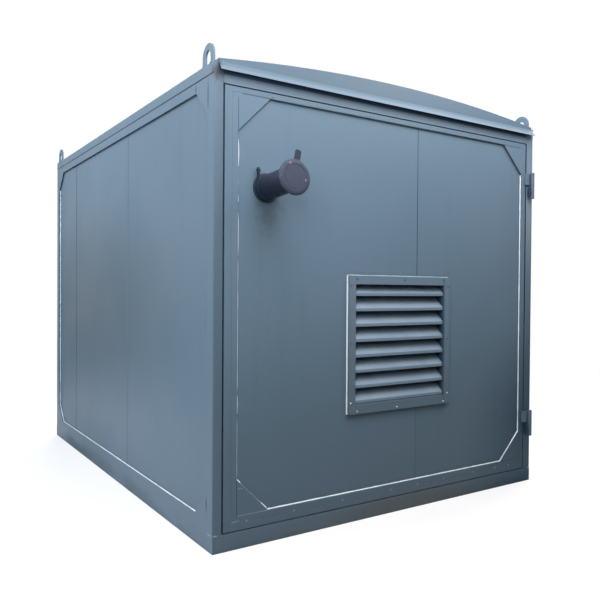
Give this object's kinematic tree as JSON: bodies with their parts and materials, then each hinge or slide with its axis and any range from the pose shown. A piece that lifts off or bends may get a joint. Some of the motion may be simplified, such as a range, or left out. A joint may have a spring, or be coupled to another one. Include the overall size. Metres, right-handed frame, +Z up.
{
  "type": "diesel generator container",
  "caption": "Steel block container for a diesel generator set, with an arched roof, a hinged front leaf, an air louvre, and an exhaust pipe with a rain flap.",
  "frame": {"origin": "middle of the underside of the base, on the ground", "axes": "+X to the right seen from the door end, +Y from the door end to the rear, +Z up"},
  "size_m": [2.3, 3.2971, 2.4],
  "materials": {
    "frame_paint": "satin",
    "sheet_paint": "satin",
    "lining": "satin",
    "floor_steel": "matte",
    "exhaust_black": "matte",
    "flap_grey": "matte"
  },
  "bodies": {
    "container": {"base_rail_front": "frame_paint", "base_rail_right": "frame_paint", "base_rail_rear": "frame_paint", "base_rail_left": "frame_paint", "base_cross_member_1": "frame_paint", "base_cross_member_2": "frame_paint", "base_cross_member_3": "frame_paint", "corner_post_front_left": "frame_paint", "corner_post_front_right": "frame_paint", "corner_post_rear_left": "frame_paint", "corner_post_rear_right": "frame_paint", "top_rail_front": "frame_paint", "top_rail_right": "frame_paint", "top_rail_rear": "frame_paint", "top_rail_left": "frame_paint", "door_header": "frame_paint", "floor_plate": "floor_steel", "right_wall_sheet": "sheet_paint", "rear_wall_sheet": "sheet_paint", "left_wall_sheet": "sheet_paint", "right_wall_trim": "frame_paint", "rear_wall_trim": "frame_paint", "left_wall_trim": "frame_paint", "right_wall_panel": "lining", "rear_wall_panel": "lining", "left_wall_panel": "lining", "ceiling_panel": "lining", "roof_sheet": "frame_paint", "gable_front": "frame_paint", "gable_rear": "frame_paint", "lifting_eye_front_left": "frame_paint", "lifting_eye_front_right": "frame_paint", "lifting_eye_rear_left": "frame_paint", "lifting_eye_rear_right": "frame_paint", "hinge_post_half_lower": "frame_paint", "hinge_post_half_upper": "frame_paint"},
    "front_door": {"door_frame": "frame_paint", "door_trim": "frame_paint", "door_sheet": "sheet_paint", "door_panel": "lining", "hinge_door_half_lower": "frame_paint", "hinge_door_half_upper": "frame_paint", "louvre_frame": "frame_paint", "louvre_blade_1": "sheet_paint", "louvre_blade_2": "sheet_paint", "louvre_blade_3": "sheet_paint", "louvre_blade_4": "sheet_paint", "louvre_blade_5": "sheet_paint", "louvre_blade_6": "sheet_paint", "louvre_blade_7": "sheet_paint", "louvre_blade_8": "sheet_paint", "exhaust_pipe": "exhaust_black", "exhaust_cover_ring": "exhaust_black", "exhaust_clamp": "exhaust_black", "flap_bracket": "exhaust_black", "flap_pin": "flap_grey"},
    "exhaust_rain_flap": {"rain_flap": "flap_grey"}
  },
  "joints": [
    {"name": "door_hinge", "type": "hinge", "parent": "container", "child": "front_door", "pos_m": [1.12, -1.523, 1.1555], "axis": [0, 0, 1], "range_deg": [0, 170]},
    {"name": "rain_flap_hinge", "type": "hinge", "parent": "front_door", "child": "exhaust_rain_flap", "pos_m": [-0.84935, -1.72341, 1.8219], "axis": [-0.9744, 0.0157, 0.2244], "range_deg": [0, 75]}
  ]
}
